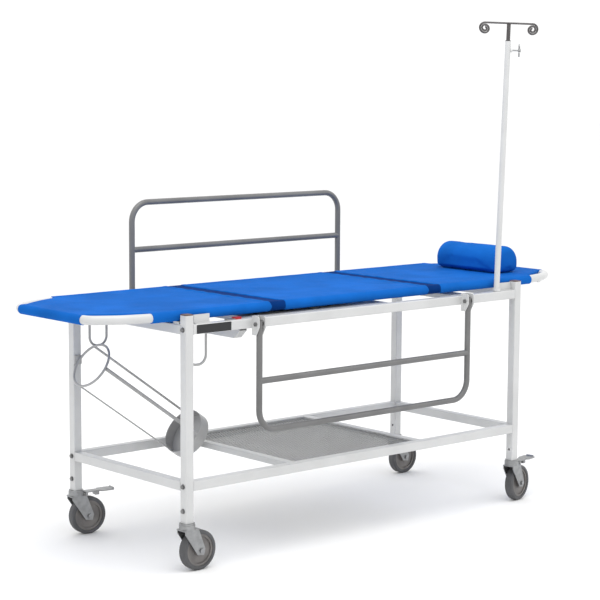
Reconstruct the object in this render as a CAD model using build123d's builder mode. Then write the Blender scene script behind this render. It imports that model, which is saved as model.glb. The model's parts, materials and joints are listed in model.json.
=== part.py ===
from build123d import *
import os
from math import cos, sin, radians, hypot

# Stretcher trolley: a four-legged undercarriage on swivel casters, a removable three-section
# stretcher, two swing-down side guards, a telescopic drip pole and an oxygen cylinder cage.
# Frame: +X to the head end, +Y to the patient's right, +Z up, floor at zero. Millimetres.

os.makedirs("parts", exist_ok=True)

# ---- driving dimensions: undercarriage ----
leg_gap_x = 1465.0
leg_gap_y = 595.0
tube = 30.0
tube_wall = 1.5
tube_corner = 3.0
leg_bottom = 152.0
leg_top = 792.0
cap_flange = 3.0
top_rail_z = 748.0
low_rail_z = 266.0
leg_x = leg_gap_x / 2
leg_y = leg_gap_y / 2
half_tube = tube / 2
rail_top = top_rail_z + half_tube
rail_inner_y = leg_y - half_tube
rail_face_y = leg_y + half_tube
tube_inside = tube - 2 * tube_wall
plug_side = tube_inside - 0.2

# ---- driving dimensions: lower shelf, deck and dropped crossbar ----
shelf_bars = (-300.0, 268.0)
shelf_bar_high = 20.0
shelf_bar_z = 271.0
mesh_z = 273.0
mesh_thick = 3.0
deck_start_x = -484.0
deck_end_x = 125.0
deck_skirt = 16.0
deck_sheet = 1.5
dropped_bar_x = -500.0
dropped_bar_z = 713.0
dropped_bar_flat = 250.0
rack_x = 470.0
rack_length = 70.0
rib_height = 3.0
rib_pitch = 18.0

# ---- driving dimensions: stretcher ----
bed_half_length = 1018.0
bed_half_width = 262.0
bed_tube_r = 14.0
bed_wall = 1.5
bed_z = 788.0
corner_x = 173.0
corner_y = 76.0
corner_bow = (80.0, 24.0)
corner_bends = (150, 150, 45, 45, 150, 150)
hinge_x = 350.0
section_gap = 29.0
pad_bottom = 790.0
pad_top = 804.0
sleeve_r = 16.5
tube_fit = 0.2
cross_tube_r = 8.0
cross_tube_z = 781.0
rest_top = bed_z - sleeve_r - 0.3
guide_x = {-1: 670.0, 1: 685.0}
guide_length = 60.0
guide_height = 27.0
bolster_x = 848.0
bolster_r = 64.0
bolster_half = 160.0
bolster_rise = 31.0
loop_x = -664.5
loop_drop = 21.0
loop_half = 33.5
loop_length = 137.0
lug_half = 6.5
prop_pivot_x = 640.0
prop_pivot_r = 6.0
prop_z = 780.0
prop_half = 170.0
prop_length = 245.0
lock_x = -575.0

# ---- driving dimensions: side guards ----
guard_x = -9.0
guard_half = 466.0
guard_pivot_z = 747.0
guard_y = 332.0
guard_reach = 337.0
guard_mid = 179.0
guard_tail = 12.0
guard_tube_r = 10.0
guard_wall = 1.5
guard_bend_r = 65.0
cheek_gap = 11.5
cheek_thick = 3.0
pivot_bolt_r = 4.0
running_gap = 0.05

# ---- driving dimensions: drip pole ----
pole_x = 636.0
pole_lean = 2.3
pole_r = 10.0
pole_bore_r = 8.2
pole_top_s = 868.0
rod_r = 7.0
rod_top_s = 931.0
rod_length = 600.0
rod_cap = 5.0
hook_turn = -41.0
hook_reach = 82.0
hook_wire_r = 3.5
hook_half_turns = 4
hook_coil_r = 17.5
clamp_s = 837.0

# ---- driving dimensions: casters ----
wheel_r = 62.5
tyre_half = 15.0
core_r = 50.0
trail = 40.0
fork_half = 18.0
fork_plate = 3.0
crown_z = 130.0
drum_top = 146.7
kingpin_r = 6.0
axle_r = 5.0
pedal_x = 31.0
pedal_z = 140.0
caster_turn = {"foot_left": 0.0, "foot_right": -8.0, "head_left": 12.0, "head_right": 0.0}
braked = ("foot_right", "head_left")

# ---- driving dimensions: cylinder cage ----
ring_centre = (-735.0, 200.0, 578.0)
cup_centre = (-363.0, 200.0, 317.0)
cage_r = 76.0
cage_wire_r = 4.0
rod_places = ((-120.0, 4.0), (0.0, 6.0), (100.0, 2.5))
cup_depth = 38.0
cup_sheet = 2.0

corners = {
    "foot_left": (-leg_x, -leg_y),
    "foot_right": (-leg_x, leg_y),
    "head_left": (leg_x, -leg_y),
    "head_right": (leg_x, leg_y),
}


def keep(piece, label):
    """Labels a finished piece and writes it."""
    piece.part.label = label
    export_step(piece.part, f"parts/{label}.step")


def tube_section():
    """The square tube's hollow section, in the active sketch."""
    RectangleRounded(tube, tube, tube_corner)
    RectangleRounded(tube_inside, tube_inside, tube_corner - tube_wall, mode=Mode.SUBTRACT)


# ---- legs, with bolt holes through the faces that carry the rails ----
bolt_r = 4.0
bolt_heights = (190.0, low_rail_z, top_rail_z)
for corner, (x, y) in corners.items():
    with BuildPart() as leg:
        with BuildSketch(Plane.XY.offset(leg_bottom)):
            with Locations((x, y)):
                tube_section()
        extrude(amount=leg_top - leg_bottom)
        with BuildSketch(Plane.YZ.offset(x - half_tube)):
            with Locations(*[(y, z) for z in bolt_heights]):
                Circle(bolt_r + running_gap)
        extrude(amount=tube, mode=Mode.SUBTRACT)
    keep(leg, f"leg_{corner}")

# ---- plastic caps on the leg tops ----
with BuildPart() as caps:
    for x, y in corners.values():
        with BuildSketch(Plane.XY.offset(leg_top)):
            with Locations((x, y)):
                RectangleRounded(tube, tube, tube_corner)
        extrude(amount=cap_flange, taper=12)
        with BuildSketch(Plane.XY.offset(leg_top)):
            with Locations((x, y)):
                RectangleRounded(plug_side, plug_side, tube_corner - tube_wall)
        extrude(amount=-14)
keep(caps, "leg_caps")

# ---- top rails; the left one is bored for the drip pole, which leans to the head end ----
pole_axis = (sin(radians(pole_lean)), 0, cos(radians(pole_lean)))
pole_foot = Plane(
    origin=(pole_x, -leg_y, rail_top),
    x_dir=(pole_axis[2], 0, -pole_axis[0]),
    z_dir=pole_axis,
)
rail_length = leg_gap_x - tube
for side, label in ((-1, "top_rail_left"), (1, "top_rail_right")):
    with BuildPart() as rail:
        with BuildSketch(Plane.YZ.offset(-rail_length / 2)):
            with Locations((side * leg_y, top_rail_z)):
                tube_section()
        extrude(amount=rail_length)
        if side < 0:
            with BuildSketch(pole_foot.offset(-tube + 2 * tube_wall)):
                Circle(pole_r + 0.1)
            extrude(amount=tube, mode=Mode.SUBTRACT)
    keep(rail, label)

# ---- crossbars that join the rails, at both levels ----
bar_length = leg_gap_y - tube


def crossbars(positions, z, label):
    """Square tubes across the trolley, at each x in positions."""
    with BuildPart() as bars:
        for x in positions:
            with BuildSketch(Plane.XZ.offset(-bar_length / 2)):
                with Locations((x, z)):
                    tube_section()
            extrude(amount=bar_length)
    keep(bars, label)


crossbars((-leg_x, leg_x), top_rail_z, "top_crossbars")
crossbars((-leg_x, leg_x), low_rail_z, "lower_crossbars")

with BuildPart() as shelf_ties:
    for x in shelf_bars:
        with BuildSketch(Plane.XZ.offset(-bar_length / 2)):
            with Locations((x, shelf_bar_z)):
                RectangleRounded(tube, shelf_bar_high, tube_corner)
                RectangleRounded(
                    tube_inside,
                    shelf_bar_high - 2 * tube_wall,
                    tube_corner - tube_wall,
                    mode=Mode.SUBTRACT,
                )
        extrude(amount=bar_length)
keep(shelf_ties, "shelf_crossbars")

with BuildPart() as low_rails:
    for side in (-1, 1):
        with BuildSketch(Plane.YZ.offset(-rail_length / 2)):
            with Locations((side * leg_y, low_rail_z)):
                tube_section()
        extrude(amount=rail_length)
keep(low_rails, "lower_rails")

# ---- dropped crossbar: dips under the stretcher, with sloping ends up to the rails ----
with BuildPart() as dropped_bar:
    skins = ((tube, half_tube, Mode.ADD), (tube_inside, half_tube - tube_wall, Mode.SUBTRACT))
    for width, depth, mode in skins:
        with BuildSketch(Plane.YZ.offset(dropped_bar_x)):
            with BuildLine():
                route = Polyline(
                    (-rail_inner_y - tube, top_rail_z + 22),
                    (-dropped_bar_flat, dropped_bar_z),
                    (dropped_bar_flat, dropped_bar_z),
                    (rail_inner_y + tube, top_rail_z + 22),
                )
            trace(route, line_width=width)
        extrude(amount=depth, both=True, mode=mode)
    for side in (-1, 1):
        with BuildSketch(Plane.XY.offset(dropped_bar_z - tube)):
            with Locations((dropped_bar_x, side * (rail_inner_y + 50))):
                Rectangle(2 * tube, 100)
        extrude(amount=5 * tube, mode=Mode.SUBTRACT)
    with BuildSketch(Plane.XY.offset(rail_top - 1)):
        with Locations((dropped_bar_x, 0)):
            Rectangle(2 * tube, leg_gap_y)
    extrude(amount=tube, mode=Mode.SUBTRACT)
keep(dropped_bar, "dropped_crossbar")


def folded_deck(label, start_x, end_x, ribs):
    """A sheet between the top rails, its four edges folded down, with ribs across if asked."""
    length = end_x - start_x
    width = 2 * rail_inner_y - 0.4
    middle_x = (start_x + end_x) / 2
    with BuildPart() as panel:
        with BuildSketch(Plane.XY.offset(rail_top - deck_skirt)):
            with Locations((middle_x, 0)):
                Rectangle(length, width)
        extrude(amount=deck_skirt)
        with BuildSketch(Plane.XY.offset(rail_top - deck_skirt)):
            with Locations((middle_x, 0)):
                Rectangle(length - 2 * deck_sheet, width - 2 * deck_sheet)
        extrude(amount=deck_skirt - deck_sheet, mode=Mode.SUBTRACT)
        for rib in range(ribs):
            with BuildSketch(Plane.XY.offset(rail_top)):
                with Locations((middle_x + (rib - (ribs - 1) / 2) * rib_pitch, 0)):
                    Rectangle(4, 420)
            extrude(amount=rib_height)
    keep(panel, label)


# ---- deck under the foot and middle sections; rack whose ribs hold the backrest prop ----
folded_deck("deck_panel", deck_start_x, deck_end_x, 0)
folded_deck("prop_rack", rack_x - rack_length / 2, rack_x + rack_length / 2, 3)

# ---- lower shelf panel ----
with BuildPart() as shelf:
    with BuildSketch(Plane.XY.offset(mesh_z)):
        with Locations(((shelf_bars[0] + shelf_bars[1]) / 2, 0)):
            Rectangle(shelf_bars[1] - shelf_bars[0] - tube - 0.4, bar_length - 0.4)
    extrude(amount=mesh_thick)
keep(shelf, "mesh_shelf")

# ---- rests that carry the stretcher, and the guide plates beside them ----
with BuildPart() as rests:
    for end in (-1, 1):
        for side in (-1, 1):
            with BuildSketch(Plane.XY.offset(rail_top)):
                with Locations((end * leg_x, side * (bed_half_width - 2))):
                    RectangleRounded(28, 26, 3)
            extrude(amount=rest_top - rail_top)
            with BuildSketch(Plane.XY.offset(rail_top)):
                with Locations((end * guide_x[end], side * (leg_y - 8))):
                    Rectangle(guide_length, 3)
            extrude(amount=guide_height)
            with BuildSketch(Plane.XY.offset(rail_top)):
                with Locations((end * guide_x[end], side * (leg_y - 2))):
                    Rectangle(guide_length, 10)
            extrude(amount=2.5)
keep(rests, "stretcher_rests")

# ---- blank plate on the left top rail ----
with BuildPart() as plate:
    with BuildSketch(Plane.XZ.offset(rail_face_y)):
        with Locations((-639, top_rail_z)):
            RectangleRounded(134, 27, 2)
    extrude(amount=1)
keep(plate, "name_plate")

# ---- frame bolts: through each leg into its rails and into the caster stem ----
with BuildPart() as bolts:
    for x, y in corners.values():
        out = 1 if x > 0 else -1
        for z in bolt_heights:
            head = Plane(origin=(x + out * half_tube, y, z), x_dir=(0, 1, 0), z_dir=(out, 0, 0))
            shank_length = 20 if z == bolt_heights[0] else tube + 18
            with BuildSketch(head):
                Circle(8)
            extrude(amount=1.5)
            with BuildSketch(head.offset(1.5)):
                RegularPolygon(6.5, 6)
            extrude(amount=4.5)
            with BuildSketch(head):
                Circle(bolt_r)
            extrude(amount=-shank_length)
keep(bolts, "frame_bolts")

# ---- caster stems: a square plug in the leg, a top race and the kingpin ----
with BuildPart() as stems:
    for x, y in corners.values():
        foot = Plane(origin=(x, y, 0))
        with BuildSketch(foot.offset(leg_bottom)):
            RectangleRounded(plug_side, plug_side, tube_corner - tube_wall)
        extrude(amount=52)
        with BuildSketch(foot.offset(drum_top + 0.3)):
            Circle(24)
        extrude(amount=leg_bottom - drum_top - 0.3)
        with BuildSketch(foot.offset(crown_z - 3.5)):
            Circle(kingpin_r)
        extrude(amount=leg_bottom - crown_z + 3.5)
        with BuildSketch(foot.offset(crown_z - 3.5)):
            Circle(10)
        extrude(amount=3.2)
        with BuildSketch(Plane.YZ.offset(x - half_tube)):
            with Locations((y, bolt_heights[0])):
                Circle(bolt_r + running_gap)
        extrude(amount=tube, mode=Mode.SUBTRACT)
keep(stems, "caster_stems")


# ---- casters ----
def caster_planes(corner):
    """The caster's level plane and its side plane: local x trails the kingpin, local y is up."""
    x, y = corners[corner]
    turn = radians(caster_turn[corner])
    along = (cos(turn), sin(turn), 0)
    level = Plane(origin=(x, y, 0), x_dir=along, z_dir=(0, 0, 1))
    side = Plane(origin=(x, y, 0), x_dir=along, z_dir=(sin(turn), -cos(turn), 0))
    return level, side


def make_fork(corner):
    """Pressed fork with its race drum, axle and, on a braked caster, the pedal's lugs."""
    level, side = caster_planes(corner)
    with BuildPart() as fork:
        for face in (-1, 1):
            with BuildSketch(side.offset(face * fork_half)):
                with BuildLine():
                    Polyline(
                        (-22, crown_z + 1),
                        (-22, crown_z - 10),
                        (trail - 15, wheel_r - 12),
                        (trail + 10, wheel_r - 15),
                        (trail + 15, wheel_r + 4),
                        (30, crown_z + 1),
                        close=True,
                    )
                make_face()
            extrude(amount=face * fork_plate)
        with BuildSketch(level.offset(crown_z)):
            with Locations((4, 0)):
                RectangleRounded(60, 2 * (fork_half + fork_plate), 3)
        extrude(amount=fork_plate)
        with BuildSketch(level.offset(crown_z + fork_plate)):
            Circle(25)
        extrude(amount=drum_top - crown_z - fork_plate)
        with BuildSketch(level.offset(crown_z)):
            Circle(kingpin_r + running_gap)
        extrude(amount=30, mode=Mode.SUBTRACT)
        with BuildSketch(side):
            with Locations((trail, wheel_r)):
                Circle(axle_r + 0.02)
        extrude(amount=2 * fork_half, both=True, mode=Mode.SUBTRACT)
        with BuildSketch(side):
            with Locations((trail, wheel_r)):
                Circle(axle_r)
        extrude(amount=fork_half + fork_plate + 0.2, both=True)
        for face in (-1, 1):
            with BuildSketch(side.offset(face * (fork_half + fork_plate + 0.2))):
                with Locations((trail, wheel_r)):
                    RegularPolygon(8, 6)
            extrude(amount=face * 4.5)
        if corner in braked:
            for face in (-1, 1):
                with BuildSketch(side.offset(face * 14.2)):
                    with Locations((pedal_x, pedal_z)):
                        Circle(4.5)
                    with Locations((pedal_x, (pedal_z + crown_z) / 2)):
                        Rectangle(9, pedal_z - crown_z)
                extrude(amount=face * fork_plate)
            with BuildSketch(side):
                with Locations((pedal_x, pedal_z)):
                    Circle(2.5)
            extrude(amount=15, both=True)
    keep(fork, f"caster_fork_{corner}")


def make_wheel(corner):
    """Moulded wheel core and its rubber tyre."""
    level, side = caster_planes(corner)
    with BuildPart() as core:
        with BuildSketch(side):
            with Locations((trail, wheel_r)):
                Circle(core_r)
        extrude(amount=12, both=True)
        for face in (-1, 1):
            with BuildSketch(side.offset(face * 12)):
                with Locations((trail, wheel_r)):
                    Circle(43)
                    Circle(19, mode=Mode.SUBTRACT)
            extrude(amount=-face * 5, mode=Mode.SUBTRACT)
        with BuildSketch(side):
            with Locations((trail, wheel_r)):
                Circle(15)
        extrude(amount=fork_half - 0.5, both=True)
        with BuildSketch(side):
            with Locations((trail, wheel_r)):
                Circle(axle_r + running_gap)
        extrude(amount=fork_half, both=True, mode=Mode.SUBTRACT)
    keep(core, f"caster_core_{corner}")
    with BuildPart() as tyre:
        with BuildSketch(side):
            with Locations((trail, wheel_r)):
                Circle(wheel_r)
        extrude(amount=tyre_half, both=True)
        fillet(tyre.edges(), radius=6)
        with BuildSketch(side):
            with Locations((trail, wheel_r)):
                Circle(core_r)
        extrude(amount=tyre_half, both=True, mode=Mode.SUBTRACT)
    keep(tyre, f"caster_tyre_{corner}")


def make_pedal(corner):
    """Brake pedal: a barrel on the fork's pin, a foot plate and a shoe over the tyre."""
    level, side = caster_planes(corner)
    with BuildPart() as pedal:
        with BuildSketch(side):
            with Locations((pedal_x, pedal_z)):
                Circle(4.5)
        extrude(amount=13.7, both=True)
        with BuildSketch(side):
            with Locations((pedal_x + 30, pedal_z + 1.5)):
                Rectangle(60, 4)
            with BuildLine():
                Polyline(
                    (pedal_x + 94, pedal_z),
                    (pedal_x + 94, pedal_z + 3.5),
                    (pedal_x + 100, pedal_z + 8),
                    (pedal_x + 103, pedal_z + 6),
                    (pedal_x + 99, pedal_z),
                    close=True,
                )
            make_face()
        extrude(amount=13.7, both=True)
        with BuildSketch(level.offset(pedal_z)):
            with Locations((pedal_x + 76, 0)):
                RectangleRounded(52, 46, 10)
        extrude(amount=3.5)
        with BuildSketch(side):
            with Locations((pedal_x + 42, pedal_z - 5)):
                Rectangle(14, 14)
        extrude(amount=11, both=True)
        with BuildSketch(side):
            with Locations((pedal_x, pedal_z)):
                Circle(2.5 + running_gap)
        extrude(amount=20, both=True, mode=Mode.SUBTRACT)
    keep(pedal, f"brake_pedal_{corner}")


for corner in corners:
    make_fork(corner)
    make_wheel(corner)
for corner in braked:
    make_pedal(corner)

# ---- guard brackets: channels welded to the rails' outer faces ----
with BuildPart() as brackets:
    for side in (-1, 1):
        for x in (guard_x - guard_half, guard_x + guard_half):
            with BuildSketch(Plane.XY.offset(712)):
                with Locations((x, side * (rail_face_y + cheek_thick / 2))):
                    Rectangle(2 * (cheek_gap + cheek_thick), cheek_thick)
            extrude(amount=60)
            for cheek in (-1, 1):
                start = x + cheek * cheek_gap
                with BuildSketch(Plane.YZ.offset(start)):
                    with BuildLine():
                        Polyline(
                            (side * rail_face_y, 712),
                            (side * rail_face_y, 772),
                            (side * (rail_face_y + 28), 772),
                            (side * (rail_face_y + 34), 766),
                            (side * (rail_face_y + 34), 738),
                            (side * (rail_face_y + 20), 712),
                            close=True,
                        )
                    make_face()
                    with Locations((side * guard_y, guard_pivot_z)):
                        Circle(pivot_bolt_r + 0.02, mode=Mode.SUBTRACT)
                extrude(amount=cheek * cheek_thick)
keep(brackets, "guard_brackets")

# ---- guard pivots: a bolt, nut and friction washers at each bracket ----
with BuildPart() as pivots:
    for side in (-1, 1):
        for x in (guard_x - guard_half, guard_x + guard_half):
            bolt_end = cheek_gap + cheek_thick + 0.1
            with BuildSketch(Plane.YZ.offset(x)):
                with Locations((side * guard_y, guard_pivot_z)):
                    Circle(pivot_bolt_r)
            extrude(amount=bolt_end, both=True)
            for face in (-1, 1):
                with BuildSketch(Plane.YZ.offset(x + face * bolt_end)):
                    with Locations((side * guard_y, guard_pivot_z)):
                        RegularPolygon(7, 6)
                extrude(amount=face * 5)
                with BuildSketch(Plane.YZ.offset(x + face * (guard_tube_r + 0.4))):
                    with Locations((side * guard_y, guard_pivot_z)):
                        Circle(8)
                        Circle(pivot_bolt_r + 0.02, mode=Mode.SUBTRACT)
                extrude(amount=face * 0.9)
keep(pivots, "guard_pivots")


# ---- side guards: a bent tube with a middle bar, swinging about the pivot bolts ----
def make_guard(label, y, way):
    """way is 1 for a raised guard and -1 for one that hangs."""
    face = Plane(origin=(0, y, guard_pivot_z), x_dir=(1, 0, 0), z_dir=(0, -1, 0))
    with BuildPart() as guard:
        with BuildLine(face) as bend:
            FilletPolyline(
                (guard_x - guard_half, -way * guard_tail),
                (guard_x - guard_half, way * guard_reach),
                (guard_x + guard_half, way * guard_reach),
                (guard_x + guard_half, -way * guard_tail),
                radius=guard_bend_r,
            )
        end = Plane(origin=bend.line @ 0, z_dir=bend.line % 0)
        with BuildSketch(end):
            Circle(guard_tube_r)
        sweep(path=bend.line)
        with BuildSketch(Plane.YZ.offset(guard_x - guard_half)):
            with Locations((y, guard_pivot_z + way * guard_mid)):
                Circle(guard_tube_r)
        extrude(amount=2 * guard_half)
        with BuildSketch(end):
            Circle(guard_tube_r - guard_wall)
        sweep(path=bend.line, mode=Mode.SUBTRACT)
        for x in (guard_x - guard_half, guard_x + guard_half):
            with BuildSketch(Plane.YZ.offset(x)):
                with Locations((y, guard_pivot_z)):
                    Circle(pivot_bolt_r + running_gap)
            extrude(amount=20, both=True, mode=Mode.SUBTRACT)
    keep(guard, label)


make_guard("guard_left", -guard_y, -1)
make_guard("guard_right", guard_y, 1)

# ---- drip pole: socket, tube, clamp head, thumbscrew, sliding rod and bag hooks ----
hook_level = cos(radians(hook_turn))
hook_dir = (hook_level * pole_axis[2], sin(radians(hook_turn)), -hook_level * pole_axis[0])
hook_across = Vector(*hook_dir).cross(Vector(*pole_axis))
hook_side = Plane(origin=pole_foot.origin, x_dir=hook_dir, z_dir=hook_across)
screw_face = Plane(origin=pole_foot.offset(clamp_s).origin, x_dir=pole_axis, z_dir=hook_dir)
with BuildPart() as socket:
    with BuildSketch(pole_foot.offset(0.7)):
        Circle(14)
        Circle(pole_r + 0.1, mode=Mode.SUBTRACT)
    extrude(amount=12)
keep(socket, "pole_socket")

with BuildPart() as pole:
    with BuildSketch(pole_foot.offset(-tube + 2 * tube_wall)):
        Circle(pole_r)
        Circle(pole_bore_r, mode=Mode.SUBTRACT)
    extrude(amount=pole_top_s + tube - 2 * tube_wall)
    with BuildSketch(screw_face.offset(pole_bore_r + 0.6)):
        Circle(7)
    extrude(amount=7)
    with BuildSketch(screw_face):
        Circle(3 + running_gap)
    extrude(amount=20, mode=Mode.SUBTRACT)
keep(pole, "pole_tube")

with BuildPart() as clamp:
    with BuildSketch(pole_foot.offset(pole_top_s)):
        Circle(pole_r)
    extrude(amount=2)
    with BuildSketch(pole_foot.offset(pole_top_s - 45)):
        Circle(pole_bore_r - 0.05)
    extrude(amount=46)
    with BuildSketch(pole_foot.offset(pole_top_s - 45)):
        Circle(rod_r + running_gap)
    extrude(amount=48, mode=Mode.SUBTRACT)
    with BuildSketch(screw_face):
        Circle(3 + running_gap)
    extrude(amount=20, mode=Mode.SUBTRACT)
keep(clamp, "pole_bush")

with BuildPart() as screw:
    with BuildSketch(screw_face.offset(rod_r + 0.3)):
        Circle(3)
    extrude(amount=32)
    with BuildSketch(screw_face.offset(36)):
        Circle(6)
    extrude(amount=9)
    with BuildSketch(screw_face.offset(37)):
        with Locations((12, 0), (-12, 0)):
            Ellipse(10, 6.5)
    extrude(amount=5)
keep(screw, "clamp_screw")

with BuildPart() as rod:
    with BuildSketch(pole_foot.offset(rod_top_s - rod_length)):
        Circle(rod_r)
        Circle(rod_r - 1.2, mode=Mode.SUBTRACT)
    extrude(amount=rod_length - rod_cap)
    with BuildSketch(pole_foot.offset(rod_top_s - rod_cap - 4)):
        Circle(rod_r)
    extrude(amount=4)
keep(rod, "pole_rod")

# The cross wire lies over the rod's top; each end winds into a flat coil.
with BuildPart() as hooks:
    for way in (-1, 1):
        with BuildLine(hook_side) as wire:
            level = rod_top_s + hook_wire_r - rod_cap
            last = (way * hook_reach, level)
            Line((0, level), last)
            radius = hook_coil_r
            down = -1
            for half_turn in range(hook_half_turns):
                after = (last[0], last[1] + down * 2 * radius)
                middle = (last[0] - down * way * radius, (last[1] + after[1]) / 2)
                ThreePointArc(last, middle, after)
                last = after
                down = -down
                radius = radius - hook_wire_r - 0.3
        with BuildSketch(Plane(origin=wire.line @ 0, z_dir=wire.line % 0)):
            Circle(hook_wire_r)
        sweep(path=wire.line)
keep(hooks, "bag_hooks")

# ---- stretcher frame: three hinged sections of round tube ----
middle_end_x = hinge_x - 28
section_start_x = hinge_x + 20


def bed_route(end, start_x):
    """Side tube, bowed corner and end tube of an end section, in the active line."""
    points = [
        (start_x, bed_half_width),
        (bed_half_length - corner_x, bed_half_width),
        (bed_half_length - corner_bow[0], bed_half_width - corner_bow[1]),
        (bed_half_length, bed_half_width - corner_y),
    ]
    left = [(end * x, -y) for x, y in points]
    right = [(end * x, y) for x, y in reversed(points)]
    FilletPolyline(*left, *right, radius=corner_bends)


def make_end_frame(label, end, ties, lug_x):
    """An end section's frame: bent tube, ties, hinge tongues and, where asked, loop lugs."""
    with BuildPart() as section:
        with BuildLine(Plane.XY.offset(bed_z)) as route:
            bed_route(end, section_start_x)
        start = Plane(origin=route.line @ 0, z_dir=route.line % 0)
        with BuildSketch(start):
            Circle(bed_tube_r)
        sweep(path=route.line)
        for x, radius, z in ties:
            with BuildSketch(Plane.XZ.offset(-bed_half_width)):
                with Locations((x, z)):
                    Circle(radius)
            extrude(amount=2 * bed_half_width)
        if lug_x:
            for side in (-1, 1):
                with BuildSketch(Plane.YZ.offset(lug_x - 9)):
                    with Locations((side * bed_half_width, bed_z - bed_tube_r - 4)):
                        Rectangle(2 * lug_half, 12)
                    with Locations((side * bed_half_width, bed_z - loop_drop)):
                        Circle(8)
                        Circle(4 + running_gap, mode=Mode.SUBTRACT)
                extrude(amount=18)
        with BuildSketch(start):
            Circle(bed_tube_r - bed_wall)
        sweep(path=route.line, mode=Mode.SUBTRACT)
        for side in (-1, 1):
            with BuildSketch(Plane.YZ.offset(end * section_start_x)):
                with Locations((side * bed_half_width, bed_z)):
                    Circle(bed_tube_r - 0.5)
            extrude(amount=end * 6)
            with BuildSketch(Plane.XZ.offset(-side * bed_half_width - 5.5)):
                with Locations((end * hinge_x, bed_z)):
                    Circle(11)
                with Locations((end * (section_start_x + 3), bed_z)):
                    Rectangle(6, 22)
                make_hull()
                with Locations((end * hinge_x, bed_z)):
                    Circle(axle_r + running_gap, mode=Mode.SUBTRACT)
            extrude(amount=11)
    keep(section, label)


head_ties = ((prop_pivot_x, prop_pivot_r, prop_z), (900, cross_tube_r, cross_tube_z))
foot_ties = ((-440, cross_tube_r, cross_tube_z), (-840, cross_tube_r, cross_tube_z))
middle_ties = tuple((x, cross_tube_r, cross_tube_z) for x in (-230, 0, 230))
make_end_frame("head_frame", 1, head_ties, 0)
make_end_frame("foot_frame", -1, foot_ties, loop_x)

with BuildPart() as middle:
    for side in (-1, 1):
        with BuildSketch(Plane.YZ.offset(-middle_end_x)):
            with Locations((side * bed_half_width, bed_z)):
                Circle(bed_tube_r)
        extrude(amount=2 * middle_end_x)
    for x, radius, z in middle_ties:
        with BuildSketch(Plane.XZ.offset(-bed_half_width)):
            with Locations((x, z)):
                Circle(radius)
        extrude(amount=2 * bed_half_width)
    for side in (-1, 1):
        with BuildSketch(Plane.YZ.offset(6 - middle_end_x)):
            with Locations((side * bed_half_width, bed_z)):
                Circle(bed_tube_r - bed_wall)
        extrude(amount=2 * middle_end_x - 12, mode=Mode.SUBTRACT)
        for end in (-1, 1):
            for face in (-1, 1):
                with BuildSketch(Plane.XZ.offset(-side * bed_half_width + face * 6)):
                    with Locations((end * hinge_x, bed_z)):
                        Circle(11)
                    with Locations((end * (middle_end_x - 3), bed_z)):
                        Rectangle(6, 19)
                    make_hull()
                    with Locations((end * hinge_x, bed_z)):
                        Circle(axle_r + 0.02, mode=Mode.SUBTRACT)
                extrude(amount=face * 4)
keep(middle, "middle_frame")

with BuildPart() as pins:
    for end in (-1, 1):
        for side in (-1, 1):
            with BuildSketch(Plane.XZ.offset(-side * bed_half_width)):
                with Locations((end * hinge_x, bed_z)):
                    Circle(axle_r)
            extrude(amount=10.2, both=True)
            for face in (-1, 1):
                with BuildSketch(Plane.XZ.offset(-side * bed_half_width + face * 10.2)):
                    with Locations((end * hinge_x, bed_z)):
                        Circle(7.5)
                extrude(amount=face * 2.5)
keep(pins, "hinge_pins")


# ---- padded covers: one over each section, sleeved round the tubes ----
pad_half = bed_half_width + 9.0


def make_end_pad(label, end, ties, lug_x):
    """Cover of an end section: its corners are cut back, so the tube's corners show as grips."""
    inner_x = end * (hinge_x + section_gap)
    shoulder_x = end * (bed_half_length - corner_x - 4)
    end_x = end * (bed_half_length + 9)
    tip_x = end * (bed_half_length - 20)
    tip_y = bed_half_width - corner_y - 22
    with BuildPart() as pad:
        with BuildSketch(Plane.XY.offset(pad_bottom)):
            with BuildLine():
                Polyline(
                    (inner_x, -pad_half),
                    (shoulder_x, -pad_half),
                    (shoulder_x + end * 8, -bed_half_width + 22),
                    (tip_x, -tip_y - 4),
                    (end_x, -tip_y),
                    (end_x, tip_y),
                    (tip_x, tip_y + 4),
                    (shoulder_x + end * 8, bed_half_width - 22),
                    (shoulder_x, pad_half),
                    (inner_x, pad_half),
                    close=True,
                )
            make_face()
        extrude(amount=pad_top - pad_bottom)
        for side in (-1, 1):
            with BuildSketch(Plane.YZ.offset(inner_x)):
                with Locations((side * bed_half_width, bed_z)):
                    Circle(sleeve_r)
            extrude(amount=shoulder_x - inner_x)
        with BuildSketch(Plane.XZ.offset(-tip_y)):
            with Locations((end * bed_half_length, bed_z)):
                Circle(sleeve_r)
        extrude(amount=2 * tip_y)
        with BuildLine(Plane.XY.offset(bed_z)) as route:
            bed_route(end, section_start_x)
        with BuildSketch(Plane(origin=route.line @ 0, z_dir=route.line % 0)):
            Circle(bed_tube_r + tube_fit)
        sweep(path=route.line, mode=Mode.SUBTRACT)
        for x, radius, z in ties:
            with BuildSketch(Plane.XZ.offset(-bed_half_width)):
                with Locations((x, z)):
                    Circle(radius + tube_fit)
            extrude(amount=2 * bed_half_width, mode=Mode.SUBTRACT)
        if lug_x:
            for side in (-1, 1):
                with BuildSketch(Plane.YZ.offset(lug_x - 9 - tube_fit)):
                    with Locations((side * bed_half_width, bed_z - 10)):
                        Rectangle(2 * (lug_half + 2), 20)
                extrude(amount=18 + 2 * tube_fit, mode=Mode.SUBTRACT)
    keep(pad, label)


make_end_pad("head_pad", 1, head_ties, 0)
make_end_pad("foot_pad", -1, foot_ties, loop_x)

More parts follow.
